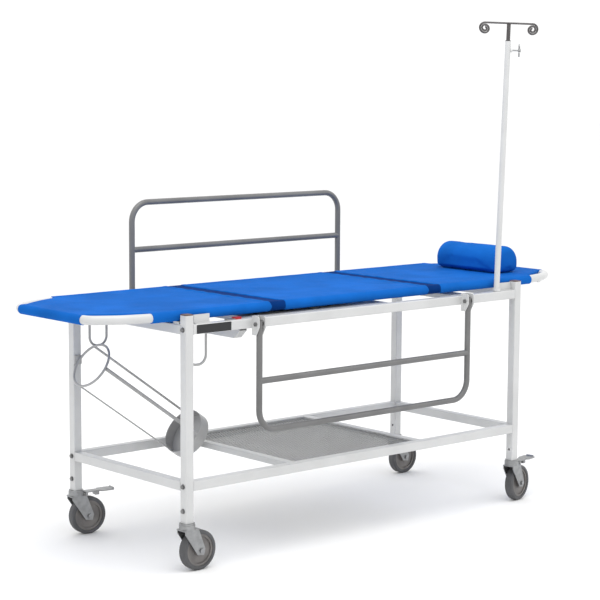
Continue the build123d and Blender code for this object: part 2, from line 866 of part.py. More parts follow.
with BuildPart() as middle_pad:
    middle_reach = hinge_x - section_gap
    with BuildSketch(Plane.XY.offset(pad_bottom)):
        Rectangle(2 * middle_reach, 2 * pad_half)
    extrude(amount=pad_top - pad_bottom)
    for side in (-1, 1):
        with BuildSketch(Plane.YZ.offset(-middle_reach)):
            with Locations((side * bed_half_width, bed_z)):
                Circle(sleeve_r)
        extrude(amount=2 * middle_reach)
    for side in (-1, 1):
        with BuildSketch(Plane.YZ.offset(-middle_end_x)):
            with Locations((side * bed_half_width, bed_z)):
                Circle(bed_tube_r + tube_fit)
        extrude(amount=2 * middle_end_x, mode=Mode.SUBTRACT)
    for x, radius, z in middle_ties:
        with BuildSketch(Plane.XZ.offset(-bed_half_width)):
            with Locations((x, z)):
                Circle(radius + tube_fit)
        extrude(amount=2 * bed_half_width, mode=Mode.SUBTRACT)
keep(middle_pad, "middle_pad")

# ---- fabric strips that close the gaps over the hinges ----
with BuildPart() as strips:
    for end in (-1, 1):
        with BuildSketch(Plane.XY.offset(pad_bottom + 4)):
            with Locations((end * (hinge_x - section_gap / 2 - 3), 0)):
                Rectangle(section_gap - 6, 2 * (bed_half_width - bed_tube_r - 1))
        extrude(amount=4)
keep(strips, "hinge_strips")

# ---- bolster pillow on the head section: a round top on straight sides ----
with BuildPart() as bolster:
    with BuildSketch(Plane.XZ.offset(-bolster_half)):
        with Locations((bolster_x, pad_top + bolster_rise)):
            Circle(bolster_r)
        with Locations((bolster_x, pad_top + bolster_rise / 2)):
            Rectangle(2 * bolster_r - 4, bolster_rise)
        with Locations((bolster_x, pad_top - bolster_r + 0.3)):
            Rectangle(3 * bolster_r, 2 * bolster_r, mode=Mode.SUBTRACT)
    extrude(amount=2 * bolster_half)
keep(bolster, "bolster")


# ---- loops that hang from lugs on the foot section's side tubes ----
def make_loop(label, side):
    """A closed wire loop whose top bar turns in the lug."""
    lug_centre = (loop_x, side * bed_half_width, bed_z - loop_drop)
    face = Plane(origin=lug_centre, x_dir=(1, 0, 0), z_dir=(0, -1, 0))
    with BuildPart() as loop:
        with BuildLine(face) as bend:
            FilletPolyline(
                (12, 0),
                (loop_half, 0),
                (loop_half, -loop_length),
                (-loop_half, -loop_length),
                (-loop_half, 0),
                (-12, 0),
                radius=(8, 30, 30, 8),
            )
        with BuildSketch(Plane(origin=bend.line @ 0, z_dir=bend.line % 0)):
            Circle(4)
        sweep(path=bend.line)
        with BuildSketch(Plane.YZ.offset(loop_x - 13)):
            with Locations((side * bed_half_width, bed_z - loop_drop)):
                Circle(4)
        extrude(amount=26)
    keep(loop, label)


make_loop("foot_loop_left", -1)
make_loop("foot_loop_right", 1)

# ---- backrest prop: a bail that folds flat under the head section ----
with BuildPart() as prop:
    with BuildLine(Plane.XY.offset(prop_z)) as bail:
        FilletPolyline(
            (prop_pivot_x - 4, -prop_half),
            (prop_pivot_x - prop_length, -prop_half),
            (prop_pivot_x - prop_length, prop_half),
            (prop_pivot_x - 4, prop_half),
            radius=30,
        )
    with BuildSketch(Plane(origin=bail.line @ 0, z_dir=bail.line % 0)):
        Circle(5)
    sweep(path=bail.line)
    for side in (-1, 1):
        with BuildSketch(Plane.XZ.offset(-side * prop_half - 10)):
            with Locations((prop_pivot_x, prop_z)):
                Circle(9)
        extrude(amount=20)
    with BuildSketch(Plane.XZ):
        with Locations((prop_pivot_x, prop_z)):
            Circle(prop_pivot_r + running_gap)
    extrude(amount=prop_half + 20, both=True, mode=Mode.SUBTRACT)
keep(prop, "backrest_prop")

# ---- stretcher lock: a flat lever with a red grip, turning on the left rail ----
lock_z = rail_top + 0.3
with BuildPart() as lever:
    with BuildSketch(Plane.XY.offset(lock_z)):
        with Locations((lock_x, -leg_y + 4), (lock_x + 42, -leg_y + 10)):
            Circle(7)
        make_hull()
    extrude(amount=3)
    with BuildSketch(Plane.XY.offset(lock_z + 3)):
        with Locations((lock_x, -leg_y + 4)):
            RegularPolygon(6, 6)
    extrude(amount=2.5)
keep(lever, "lock_lever")

with BuildPart() as grip:
    with BuildSketch(Plane.XY.offset(lock_z - 0.2)):
        with Locations((lock_x + 36, -leg_y + 10), (lock_x + 54, -leg_y + 11)):
            Circle(9)
        make_hull()
    extrude(amount=6)
    with BuildSketch(Plane.XY.offset(lock_z)):
        with Locations((lock_x, -leg_y + 4), (lock_x + 42, -leg_y + 10)):
            Circle(7.1)
        make_hull()
    extrude(amount=3.05, mode=Mode.SUBTRACT)
keep(grip, "lock_grip")

# ---- oxygen cylinder cage: ring, three rods and a sheet cup on the shelf crossbar ----
run = (cup_centre[0] - ring_centre[0], 0, cup_centre[2] - ring_centre[2])
run_length = hypot(run[0], run[2])
cage_dir = (run[0] / run_length, 0, run[2] / run_length)
ring_plane = Plane(origin=ring_centre, x_dir=(0, -1, 0), z_dir=cage_dir)
cup_plane = Plane(origin=cup_centre, x_dir=(0, -1, 0), z_dir=cage_dir)
with BuildPart() as ring:
    with Locations(ring_plane.location):
        Torus(cage_r, cage_wire_r)
    with BuildSketch(Plane.XZ.offset(-rail_inner_y)):
        with Locations((-leg_x, ring_centre[2] + 8)):
            RectangleRounded(26, 30, 4)
    extrude(amount=rail_inner_y - ring_centre[1] - cage_r - 1)
keep(ring, "cylinder_ring")

with BuildPart() as cage_rods:
    for angle, radius in rod_places:
        spot = (cage_r * cos(radians(angle)), cage_r * sin(radians(angle)))
        with BuildSketch(ring_plane.offset(cage_wire_r)):
            with Locations(spot):
                Circle(radius)
        extrude(amount=run_length - cage_wire_r)
keep(cage_rods, "cylinder_rods")

strap_thick = 3.0
strap_x = shelf_bars[0] - half_tube
strap_z = shelf_bar_z + 5
floor_mid = cup_plane.from_local_coords((0, 0, cup_depth - 1))
strap_reach = floor_mid.X + (strap_z - floor_mid.Z) * cage_dir[2] / -cage_dir[0]
with BuildPart() as cup:
    with BuildSketch(cup_plane.offset(0.2)):
        Circle(cage_r + 4)
    extrude(amount=cup_depth)
    with BuildSketch(Plane.XZ.offset(-cup_centre[1] - 12)):
        with Locations((strap_x - strap_thick / 2, shelf_bar_z)):
            Rectangle(strap_thick, shelf_bar_high - 2)
        with Locations(((strap_x + strap_reach) / 2, strap_z)):
            Rectangle(strap_x - strap_reach, strap_thick)
    extrude(amount=24)
    with BuildSketch(cup_plane):
        Circle(cage_r + 4 - cup_sheet)
    extrude(amount=cup_depth - cup_sheet, mode=Mode.SUBTRACT)
keep(cup, "cylinder_cup")
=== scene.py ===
import json
import math

import bmesh
import bpy
from mathutils import Matrix, Vector, noise


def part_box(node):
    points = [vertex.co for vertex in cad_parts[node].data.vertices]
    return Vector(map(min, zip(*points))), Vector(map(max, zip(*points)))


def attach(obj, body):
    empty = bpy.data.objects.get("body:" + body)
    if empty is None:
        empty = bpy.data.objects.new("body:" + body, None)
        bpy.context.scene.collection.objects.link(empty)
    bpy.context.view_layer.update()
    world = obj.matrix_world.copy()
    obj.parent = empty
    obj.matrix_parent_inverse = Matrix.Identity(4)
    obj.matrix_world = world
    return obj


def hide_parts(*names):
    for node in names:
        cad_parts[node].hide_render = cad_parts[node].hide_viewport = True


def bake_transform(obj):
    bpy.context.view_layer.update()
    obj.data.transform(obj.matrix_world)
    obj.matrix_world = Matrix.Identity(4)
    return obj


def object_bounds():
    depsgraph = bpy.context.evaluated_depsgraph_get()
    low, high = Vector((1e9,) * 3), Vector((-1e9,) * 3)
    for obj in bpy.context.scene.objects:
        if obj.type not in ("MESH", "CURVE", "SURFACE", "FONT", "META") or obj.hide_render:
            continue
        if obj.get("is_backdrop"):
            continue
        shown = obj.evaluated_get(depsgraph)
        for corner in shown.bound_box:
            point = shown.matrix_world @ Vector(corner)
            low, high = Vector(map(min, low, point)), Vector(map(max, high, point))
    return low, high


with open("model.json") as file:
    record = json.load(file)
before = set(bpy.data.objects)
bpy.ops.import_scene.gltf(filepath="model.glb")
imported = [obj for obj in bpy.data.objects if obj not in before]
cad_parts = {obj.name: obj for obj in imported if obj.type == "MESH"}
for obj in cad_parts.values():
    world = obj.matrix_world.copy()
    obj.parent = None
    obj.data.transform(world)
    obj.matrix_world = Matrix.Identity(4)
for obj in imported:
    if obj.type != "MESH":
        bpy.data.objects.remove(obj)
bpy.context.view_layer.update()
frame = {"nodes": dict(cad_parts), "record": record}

MM = 0.001


# ---- materials ----
def shader(name, colour, roughness, metallic=0.0):
    """A material with its Principled shader and an object-space coordinate."""
    made = bpy.data.materials.new(name)
    made.use_nodes = True
    tree = made.node_tree
    surface = tree.nodes["Principled BSDF"]
    surface.inputs["Base Color"].default_value = (*colour, 1)
    surface.inputs["Roughness"].default_value = roughness
    surface.inputs["Metallic"].default_value = metallic
    place = tree.nodes.new("ShaderNodeTexCoord").outputs["Object"]
    return made, tree, surface, place


def noise_node(tree, place, scale, detail=3.0):
    """Noise at so many cells to the metre."""
    node = tree.nodes.new("ShaderNodeTexNoise")
    node.inputs["Scale"].default_value = scale
    node.inputs["Detail"].default_value = detail
    tree.links.new(place, node.inputs["Vector"])
    return node.outputs["Fac"]


def ramp_between(tree, amount, dark, light, low=0.35, high=0.65):
    """A colour that runs from dark to light as amount goes from low to high."""
    node = tree.nodes.new("ShaderNodeValToRGB")
    node.color_ramp.elements[0].position = low
    node.color_ramp.elements[1].position = high
    node.color_ramp.elements[0].color = (*dark, 1)
    node.color_ramp.elements[1].color = (*light, 1)
    tree.links.new(amount, node.inputs["Fac"])
    return node.outputs["Color"]


def spread(tree, amount, low, high):
    """A number from low to high as amount goes from 0 to 1."""
    node = tree.nodes.new("ShaderNodeMapRange")
    node.inputs["To Min"].default_value = low
    node.inputs["To Max"].default_value = high
    tree.links.new(amount, node.inputs["Value"])
    return node.outputs["Result"]


def vary_colour(tree, surface, amount, dark, light):
    tree.links.new(ramp_between(tree, amount, dark, light), surface.inputs["Base Color"])


def vary_roughness(tree, surface, amount, low, high):
    tree.links.new(spread(tree, amount, low, high), surface.inputs["Roughness"])


def bump(tree, surface, height, strength, distance):
    node = tree.nodes.new("ShaderNodeBump")
    node.inputs["Strength"].default_value = strength
    node.inputs["Distance"].default_value = distance
    tree.links.new(height, node.inputs["Height"])
    tree.links.new(node.outputs["Normal"], surface.inputs["Normal"])


def tint(colour, factor):
    """The colour, lighter or darker by a factor."""
    return tuple(min(1.0, part * factor) for part in colour)


def coated(name, colour, roughness=0.34, peel=420.0, dirt=0.93):
    """Powder coat: orange peel, faint handling marks and a soft gloss."""
    made, tree, surface, place = shader(name, colour, roughness)
    marks = noise_node(tree, place, 9.0, 5.0)
    vary_colour(tree, surface, marks, tint(colour, dirt), colour)
    rough = noise_node(tree, place, 38.0)
    vary_roughness(tree, surface, rough, roughness - 0.07, roughness + 0.1)
    bump(tree, surface, noise_node(tree, place, peel, 2.0), 0.22, 0.0004)
    surface.inputs["Coat Weight"].default_value = 0.15
    return made


def metal(name, colour, roughness, streak=(60.0, 60.0, 900.0), depth=0.15):
    """Plated or polished steel with fine streaks."""
    made, tree, surface, place = shader(name, colour, roughness, 1.0)
    stretch = tree.nodes.new("ShaderNodeMapping")
    stretch.inputs["Scale"].default_value = streak
    tree.links.new(place, stretch.inputs["Vector"])
    lines = noise_node(tree, stretch.outputs["Vector"], 1.0, 4.0)
    cloud = noise_node(tree, place, 55.0, 4.0)
    vary_colour(tree, surface, cloud, tint(colour, 0.82), colour)
    vary_roughness(tree, surface, lines, roughness * 0.75, roughness * 1.35)
    bump(tree, surface, lines, depth, 0.0003)
    return made


def moulded(name, colour, roughness, grain=700.0, depth=0.25):
    """Moulded plastic or rubber with a fine grain."""
    made, tree, surface, place = shader(name, colour, roughness)
    cloud = noise_node(tree, place, 26.0, 5.0)
    vary_colour(tree, surface, cloud, tint(colour, 0.8), tint(colour, 1.12))
    vary_roughness(tree, surface, cloud, roughness - 0.08, roughness + 0.1)
    bump(tree, surface, noise_node(tree, place, grain, 2.0), depth, 0.0004)
    return made


WAVES_PER_METRE = 0.314  # the wave texture's scale for one band to the metre


def woven(name, colour, pitch=0.0011):
    """Coated nylon: a plain weave, soft creases and a matt surface."""
    made, tree, surface, place = shader(name, colour, 0.8)
    threads = []
    for direction in ("X", "Y"):
        wave = tree.nodes.new("ShaderNodeTexWave")
        wave.bands_direction = direction
        wave.inputs["Scale"].default_value = WAVES_PER_METRE / pitch
        wave.inputs["Distortion"].default_value = 0.6
        tree.links.new(place, wave.inputs["Vector"])
        threads.append(wave.outputs["Fac"])
    weave = tree.nodes.new("ShaderNodeMath")
    weave.operation = "MULTIPLY"
    tree.links.new(threads[0], weave.inputs[0])
    tree.links.new(threads[1], weave.inputs[1])
    cloud = noise_node(tree, place, 7.0, 6.0)
    vary_colour(tree, surface, cloud, tint(colour, 0.86), tint(colour, 1.08))
    creases = noise_node(tree, place, 16.0, 3.0)
    height = tree.nodes.new("ShaderNodeMath")
    height.operation = "MULTIPLY_ADD"
    height.inputs[1].default_value = 0.12
    tree.links.new(weave.outputs[0], height.inputs[0])
    tree.links.new(creases, height.inputs[2])
    bump(tree, surface, height.outputs[0], 0.35, 0.0025)
    surface.inputs["Specular IOR Level"].default_value = 0.04
    return made


paint = {
    "frame_white": coated("frame_white_look", (0.57, 0.575, 0.575)),
    "guard_grey": coated("guard_grey_look", (0.15, 0.15, 0.15), 0.34, 500.0, 0.8),
    "loop_grey": coated("loop_grey_look", (0.40, 0.40, 0.40), 0.35, 500.0, 0.85),
    "mesh_metal": coated("mesh_metal_look", (0.20, 0.205, 0.205), 0.4, 500.0, 0.85),
    "zinc": metal("zinc_look", (0.34, 0.345, 0.35), 0.42),
    "dark_chrome": metal(
        "dark_chrome_look", (0.13, 0.125, 0.125), 0.24, (200.0, 200.0, 30.0), 0.05
    ),
    "dark_bolt": metal("dark_bolt_look", (0.26, 0.26, 0.26), 0.45),
    "cap_brown": moulded("cap_brown_look", (0.075, 0.032, 0.022), 0.5),
    "tyre": moulded("tyre_look", (0.075, 0.076, 0.08), 0.62, 500.0, 0.35),
    "caster_core": moulded("caster_core_look", (0.165, 0.155, 0.15), 0.5),
    "plate_black": moulded("plate_black_look", (0.008, 0.009, 0.011), 0.4),
    "grip_red": moulded("grip_red_look", (0.45, 0.012, 0.01), 0.33),
    "cover_blue": woven("cover_blue_look", (0.006, 0.112, 0.45)),
    # cover_navy: the hinge strips' dark navy is partly the fabric's own colour and partly painted
    # shade of the gaps between the covers
    "cover_navy": woven("cover_navy_painted_shade_look", (0.001, 0.030, 0.16)),
}
for entry in frame["record"]["subparts"]:
    skin = frame["nodes"][entry["node"]].data.materials
    skin.clear()
    skin.append(paint[entry["material_slot"]])


# ---- making pieces ----
def piece_from(name, verts, faces, look, smooth=True):
    """A mesh object from points in millimetres."""
    data = bpy.data.meshes.new(name)
    data.from_pydata([Vector(v) * MM for v in verts], [], faces)
    data.materials.append(look)
    made = bpy.data.objects.new(name, data)
    bpy.context.scene.collection.objects.link(made)
    shell = bmesh.new()
    shell.from_mesh(data)
    bmesh.ops.recalc_face_normals(shell, faces=shell.faces)
    shell.to_mesh(data)
    shell.free()
    for face in data.polygons:
        face.use_smooth = smooth
    return made


def box_mm(node):
    """A node's lowest and highest corners at rest, in millimetres."""
    low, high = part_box(node)
    return [part / MM for part in low], [part / MM for part in high]


def stretched_tube(points, radius, sides=10, closed=False):
    """Rings of a round tube along points; returns its verts and faces."""
    verts = []
    faces = []
    count = len(points)
    for at in range(count):
        ahead = points[(at + 1) % count] if closed or at < count - 1 else points[at]
        behind = points[at - 1] if closed or at > 0 else points[at]
        along = (Vector(ahead) - Vector(behind)).normalized()
        across = along.cross(Vector((0.13, 0.21, 0.97))).normalized()
        other = along.cross(across)
        for side in range(sides):
            angle = 2 * math.pi * side / sides
            spoke = math.cos(angle) * across + math.sin(angle) * other
            verts.append(Vector(points[at]) + radius * spoke)
    for at in range(count if closed else count - 1):
        start = at * sides
        after = ((at + 1) % count) * sides
        for side in range(sides):
            beside = (side + 1) % sides
            faces.append((start + side, start + beside, after + beside, after + side))
    if not closed:
        faces.append(tuple(range(sides))[::-1])
        faces.append(tuple(range((count - 1) * sides, count * sides)))
    return verts, faces


class Shell:
    """Gathers several closed shapes into one piece."""

    def __init__(self):
        self.verts = []
        self.faces = []

    def add(self, verts, faces):
        start = len(self.verts)
        self.verts.extend(verts)
        self.faces.extend(tuple(start + index for index in face) for face in faces)

    def bar(self, middle, along, across, up, size):
        """A block of the given length, width and height."""
        corners = []
        for a in (-0.5, 0.5):
            for b in (-0.5, 0.5):
                for c in (-0.5, 0.5):
                    sideways = b * size[1] * across
                    corners.append(middle + a * size[0] * along + sideways + c * size[2] * up)
        faces = [(0, 1, 3, 2), (4, 6, 7, 5), (0, 4, 5, 1), (2, 3, 7, 6), (0, 2, 6, 4), (1, 5, 7, 3)]
        self.add(corners, faces)

    def piece(self, name, look, smooth=True):
        return piece_from(name, self.verts, self.faces, look, smooth)


# ---- padded covers, sleeved round the stretcher's tubes ----
low, high = box_mm("middle_pad")
ACROSS = 150  # steps across a cover
SLEEVE = 16.3  # outer radius of the sleeves round the tubes
SIDE = high[1] - 0.2
TUBE_Z = low[2] + SLEEVE + 0.2
SLAB_LOW = TUBE_Z + 3.0
SLAB_HIGH = TUBE_Z + 15.2
MIDDLE_END = high[0]
low, high = box_mm("head_pad")
END_START = low[0]
END_REACH = high[0] - 0.2
CORNER_START = 841.0
CORNER_END = END_REACH - 36.0
TIP_HALF = 165.0
HEM_WIDE = 19.0
HEM_RISE = 1.3
HEM_ROUND = 6.2
END_ROUND = 4.8
SEAM_IN = 35.0
SEAM_WIDE = 2.6
SEAM_DEPTH = 1.7
SAG = 3.4
BROAD_RIPPLE = 1.1
FINE_RIPPLE = 0.5
CREASE = 0.8


def half_width(x, ended):
    """The cover's half width, and how far its side sleeves have opened, at distance x."""
    if not ended or x <= CORNER_START:
        return SIDE, 1.0
    cut = CORNER_START + 9.0
    inner = SIDE - 37.0
    if x < cut:
        share = (x - CORNER_START) / (cut - CORNER_START)
        return SIDE + (inner - SIDE) * share, 1.0 - share
    if x < CORNER_END:
        share = (x - cut) / (CORNER_END - cut)
        bow = 7.0 * math.sin(math.pi * share)
        return inner + (TIP_HALF + 4 - inner) * share + bow, 0.0
    return TIP_HALF, 0.0


def circle_rise(distance, radius):
    """Height of a circle's edge, measured in from its side."""
    inside = max(0.0, min(distance, 2 * radius))
    return math.sqrt(max(0.0, radius * radius - (radius - inside) ** 2))


def cover_heights(x, y, start, stop, ended, seed):
    """Top and bottom of the cover at a point."""
    wide, sleeved = half_width(x, ended)
    edge = wide - abs(y)
    middle = (SLAB_LOW + SLAB_HIGH) / 2
    thick = (SLAB_HIGH - SLAB_LOW) / 2
    hem_rise = thick * math.sqrt(max(0.0, 1 - (1 - min(edge, HEM_ROUND) / HEM_ROUND) ** 2))
    plain_top = middle + hem_rise
    plain_low = middle - hem_rise
    if edge < SLEEVE:
        sleeve_top = TUBE_Z + circle_rise(edge, SLEEVE)
    else:
        sleeve_top = max(SLAB_HIGH, TUBE_Z + SLEEVE - 0.12 * (edge - SLEEVE))
    sleeve_low = TUBE_Z - circle_rise(edge, SLEEVE) if edge < 2 * SLEEVE - 4 else SLAB_LOW
    top = plain_top + (sleeve_top - plain_top) * sleeved
    low = plain_low + (sleeve_low - plain_low) * sleeved
    if ended:
        over = END_REACH - x
        if over < SLEEVE:
            top = min(top, TUBE_Z + circle_rise(over, SLEEVE))
        if over < 2 * SLEEVE - 4:
            low = min(low, TUBE_Z - circle_rise(over, SLEEVE))
    spread_y = 1 - min(1.0, abs(y) / (wide - 20)) ** 2
    spread_x = max(0.0, min(1.0, (x - start) / 90, (stop - x) / 90))
    sag = SAG * spread_y * spread_x
    ripple = BROAD_RIPPLE * noise.noise(Vector((x / 120, y / 70, seed)))
    ripple += FINE_RIPPLE * noise.noise(Vector((x / 35, y / 60, seed + 9)))
    ease = min(1.0, max(0.0, edge / 30))
    if ended:
        ease *= min(1.0, max(0.0, (stop - x - SLEEVE) / 45))
    hem_way = x - start if ended else min(x - start, stop - x)
    folded = HEM_RISE * min(1.0, max(0.0, (HEM_WIDE - hem_way) / 1.2))
    stitched = SEAM_DEPTH * math.exp(-(((edge - SEAM_IN) / SEAM_WIDE) ** 2)) * sleeved
    wander = abs(y) / 9 + 5 * noise.noise(Vector((x / 50, 0, seed)))
    creased = CREASE * math.sin(wander) * math.exp(-max(0.0, hem_way - 15) / 22)
    top = top - (sag - ripple) * ease + (folded + creased * spread_y - stitched) * ease
    return max(top, low + 0.4), low


def cover_stations(start, stop, ended):
    """Distances along the cover: close together at hems, corners and the end tube."""
    hems = [0.0, 0.5, 1.4, 2.8, END_ROUND, 8.0, HEM_WIDE - 1.2, HEM_WIDE]
    places = {start + step for step in hems}
    if ended:
        places |= {CORNER_START - step for step in hems}
        places |= {CORNER_START + 3 * step for step in range(1, 5)}
        turns = [math.radians(6 * step) for step in range(16)]
        places |= {END_REACH - SLEEVE * (1 - math.sin(turn)) for turn in turns}
        places |= {CORNER_END - 6, CORNER_END - 2, CORNER_END, CORNER_END + 3}
    else:
        places |= {stop - step for step in hems}
    step = start + 26.0
    while step < stop - 12:
        places.add(step)
        step += 9.0
    tidy = []
    for place in sorted(places):
        if place <= stop + 1e-6 and (not tidy or place - tidy[-1] > 0.35):
            tidy.append(place)
    return tidy


def loft_faces(stations, across):
    """Sides and end caps of a loft whose rings run over the top and back below."""
    ring = 2 * across
    faces = []
    for at in range(stations - 1):
        first = at * ring
        second = first + ring
        for step in range(ring):
            beside = (step + 1) % ring
            faces.append((first + step, first + beside, second + beside, second + step))
    for first in (0, (stations - 1) * ring):
        for step in range(across):
            back = first + (ring - step) % ring
            quad = [first + step, first + step + 1, first + ring - 1 - step, back]
            kept = list(dict.fromkeys(quad))
            if len(kept) > 2:
                faces.append(tuple(kept))
    return faces


def cover(name, way, start, stop, ended, seed, look):
    """One section's cover; way is the direction along X that it is built in."""
    stations = cover_stations(start, stop, ended)
    verts = []
    for x in stations:
        wide = half_width(x, ended)[0]
        close = x - start
        if not ended:
            close = min(close, stop - x)
        squeeze = 1.0
        if close <= END_ROUND:
            squeeze = 0.45 + 0.55 * math.sqrt(1 - (1 - close / END_ROUND) ** 2)
        row_top = []
        row_low = []
        for step in range(ACROSS + 1):
            y = wide * math.sin(math.pi / 2 * (2 * step / ACROSS - 1))
            top, low = cover_heights(x, y, start, stop, ended, seed)
            centre = (top + low) / 2
            row_top.append((way * x, y, centre + (top - centre) * squeeze))
            row_low.append((way * x, y, centre + (low - centre) * squeeze))
        verts.extend(row_top + row_low[1:-1][::-1])
    return piece_from(name, verts, loft_faces(len(stations), ACROSS), look)


def finish_soft(piece, body, slot, fill, *nodes):
    """Attaches a padded piece to its body and hides the nodes that it stands for; its slot is not
    used.
    """
    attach(piece, body)
    if nodes:
        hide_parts(*nodes)


COVER_FILL = 0.85
STRIP_FILL = 0.4
BOLSTER_FILL = 0.9
blue = paint["cover_blue"]
# navy: hinge strip colour, partly the fabric's own and partly painted shade of the hinge gaps
navy = paint["cover_navy"]
middle_cover = cover("middle_cover", 1, -MIDDLE_END, MIDDLE_END, False, 3.1, blue)
finish_soft(middle_cover, "stretcher", "cover_blue", COVER_FILL, "middle_pad")
foot_cover = cover("foot_cover", -1, END_START, END_REACH, True, 7.7, blue)
finish_soft(foot_cover, "stretcher", "cover_blue", COVER_FILL, "foot_pad")
head_cover = cover("head_cover", 1, END_START, END_REACH, True, 12.3, blue)
finish_soft(head_cover, "head_section", "cover_blue", COVER_FILL, "head_pad")


# ---- fabric strips across the hinges ----
def hinge_strip(name, way):
    """A strip that dips between two covers and wraps the side tubes."""
    across = 72
    lap = 6
    rows = 24
    span = END_START - MIDDLE_END + 2 * lap
    stations = [MIDDLE_END - lap + step * span / rows for step in range(rows + 1)]
    verts = []
    reach = SIDE - 0.9
    radius = SLEEVE - 0.9
    for x in stations:
        share = (x - stations[0]) / (stations[-1] - stations[0])
        dip = 2.6 * math.sin(math.pi * share)
        row_top = []
        row_low = []
        for step in range(across + 1):
            y = reach * math.sin(math.pi / 2 * (2 * step / across - 1))
            edge = reach - abs(y)
            top = TUBE_Z + circle_rise(edge, radius) if edge < radius else TUBE_Z + radius
            inward = min(1.0, max(0.0, (edge - radius) / 25))
            top -= dip * inward + 1.5 * inward
            low = TUBE_Z - circle_rise(edge, radius) if edge < 2 * radius - 4 else top - 7
            row_top.append((way * x, y, top))
            row_low.append((way * x, y, min(low, top - 0.4)))
        verts.extend(row_top + row_low[1:-1][::-1])
    # The strip's navy is partly its own colour and partly painted shade of the hinge gap it dips
    # into
    return piece_from(name, verts, loft_faces(len(stations), across), navy)


foot_strip = hinge_strip("foot_hinge_strip", -1)
finish_soft(foot_strip, "stretcher", "cover_navy", STRIP_FILL, "hinge_strips")
head_strip = hinge_strip("head_hinge_strip", 1)
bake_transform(head_strip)


# ---- bolster ----
CLOTH_STEPS = 20
VOXEL = 0.0045
PRESSURE = 4.0
MOST_SWELL = 0.004
PROFILE_POINTS = 64


def simulate(piece, voxel, pressure, most):
    """Inflates a closed piece as cloth and keeps each point near its start."""
    remesh = piece.modifiers.new("remesh", "REMESH")
    remesh.mode = "VOXEL"
    remesh.voxel_size = voxel
    bpy.context.view_layer.objects.active = piece
    bpy.ops.object.modifier_apply(modifier="remesh")
    start = [v.co.copy() for v in piece.data.vertices]
    cloth = piece.modifiers.new("cloth", "CLOTH")
    cloth.settings.use_pressure = True
    cloth.settings.uniform_pressure_force = pressure
    cloth.settings.effector_weights.gravity = 0
    cloth.settings.quality = 5
    scene = bpy.context.scene
    for step in range(1, CLOTH_STEPS + 1):
        scene.frame_set(step)
    swollen = piece.evaluated_get(bpy.context.evaluated_depsgraph_get()).to_mesh()
    moved = [v.co.copy() for v in swollen.vertices]
    piece.modifiers.remove(cloth)
    for vertex, old, new in zip(piece.data.vertices, start, moved):
        shift = new - old
        if shift.length > most:
            shift = shift.normalized() * most
        vertex.co = old + shift
    scene.frame_set(1)
    finer = piece.modifiers.new("finer", "SUBSURF")
    finer.levels = 1
    finer.render_levels = 1
    for face in piece.data.polygons:
        face.use_smooth = True


low, high = box_mm("bolster")
BOLSTER_X = (low[0] + high[0]) / 2
BOLSTER_R = (high[0] - low[0]) / 2
BOLSTER_TOP = high[2]
BOLSTER_LOW = low[2] + 0.3
BOLSTER_HALF = high[1]


def bolster_profile(shrink, points):
    """The section: a round back on straight sides and a flat base, drawn in by shrink."""
    radius = BOLSTER_R - 1.5 - shrink
    centre_z = BOLSTER_TOP - BOLSTER_R
    floor_z = BOLSTER_LOW + 0.6 + 0.3 * shrink
    corner = 9.0
    outline = []
    arc = points // 2
    for step in range(arc + 1):
        angle = math.pi * step / arc
        x = BOLSTER_X + radius * math.cos(angle)
        outline.append((x, centre_z + radius * math.sin(angle)))
    rest = points - arc - 1
    side = rest // 3
    drop = centre_z - floor_z - corner
    left = [(-radius, centre_z - drop * (step + 1) / side) for step in range(side)]
    flat = rest - 2 * side
    base = [(-(radius - corner) * (1 - 2 * (step + 0.5) / flat), floor_z) for step in range(flat)]
    right = [(-x, z) for x, z in reversed(left)]
    outline.extend((BOLSTER_X + x, z) for x, z in left + base + right)
    return outline


def make_bolster():
    """The cushion before it is inflated, its ends rounded over."""
    round_end = 24.0
    turns = 9
    tip = BOLSTER_HALF - 3
    rows = []
    for step in range(turns):
        angle = math.pi / 2 * step / (turns - 1)
        rows.append((-tip + round_end * (1 - math.cos(angle)), round_end * (1 - math.sin(angle))))
    inner = 24
    first = rows[-1][0]
    middle_rows = [(first * (1 - 2 * step / inner), 0.0) for step in range(1, inner)]
    rows = rows + middle_rows + [(-y, shrink) for y, shrink in reversed(rows)]
    verts = []
    faces = []
    points = PROFILE_POINTS
    for y, shrink in rows:
        pull = 1.2 * noise.noise(Vector((y / 45, 0.0, 4.2)))
        verts.extend((x, y, z) for x, z in bolster_profile(shrink + pull, points))
    for at in range(len(rows) - 1):
        row = at * points
        for step in range(points):
            beside = (step + 1) % points
            faces.append((row + step, row + beside, row + points + beside, row + points + step))
    faces.append(tuple(range(points)))
    faces.append(tuple(range((len(rows) - 1) * points, len(rows) * points)))
    return piece_from("bolster_cushion", verts, faces, blue)


bolster = make_bolster()
simulate(bolster, VOXEL, PRESSURE, MOST_SWELL)
finish_soft(bolster, "head_section", "cover_blue", BOLSTER_FILL, "bolster")


# ---- weld beads where the square tubes meet ----
BEAD = 1.7


